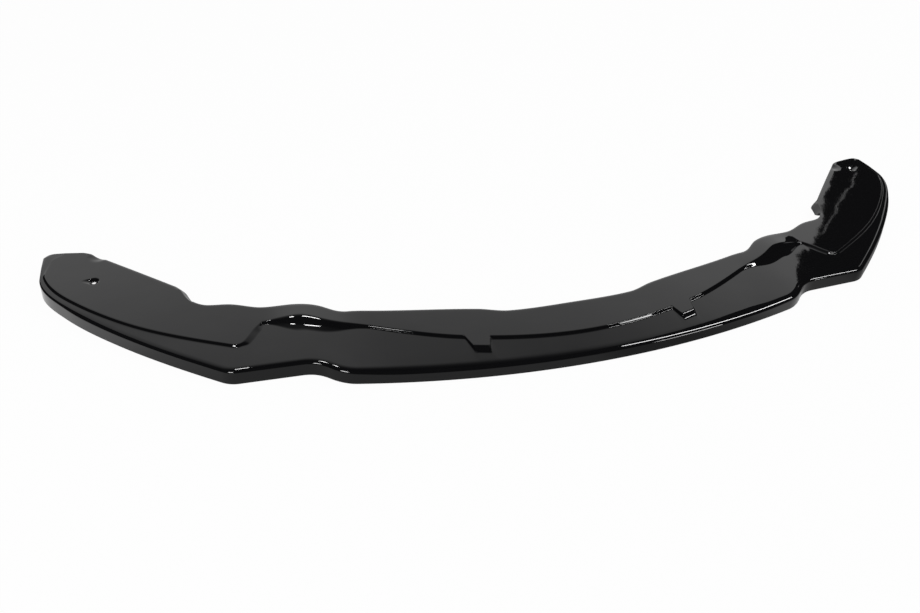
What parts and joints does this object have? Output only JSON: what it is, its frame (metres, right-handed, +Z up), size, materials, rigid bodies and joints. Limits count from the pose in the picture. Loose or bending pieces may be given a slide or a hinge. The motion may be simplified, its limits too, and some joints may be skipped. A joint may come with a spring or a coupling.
{
  "type": "front splitter lip",
  "caption": "Gloss black front splitter lip: a thin formed sheet with a forward blade, raised plateau, stepped wings and a turned-down front skirt.",
  "frame": {"origin": "middle of the part's width and depth, on the ground under the foot of the skirt", "axes": "+X to the car's left wing tip as seen from the front on the right of the picture, +Y to the rear of the car, +Z up"},
  "size_m": [1.69, 0.464, 0.031],
  "materials": {
    "gloss_black_sheet": "gloss"
  },
  "bodies": {
    "root": {"splitter_lip": "gloss_black_sheet"}
  },
  "joints": []
}
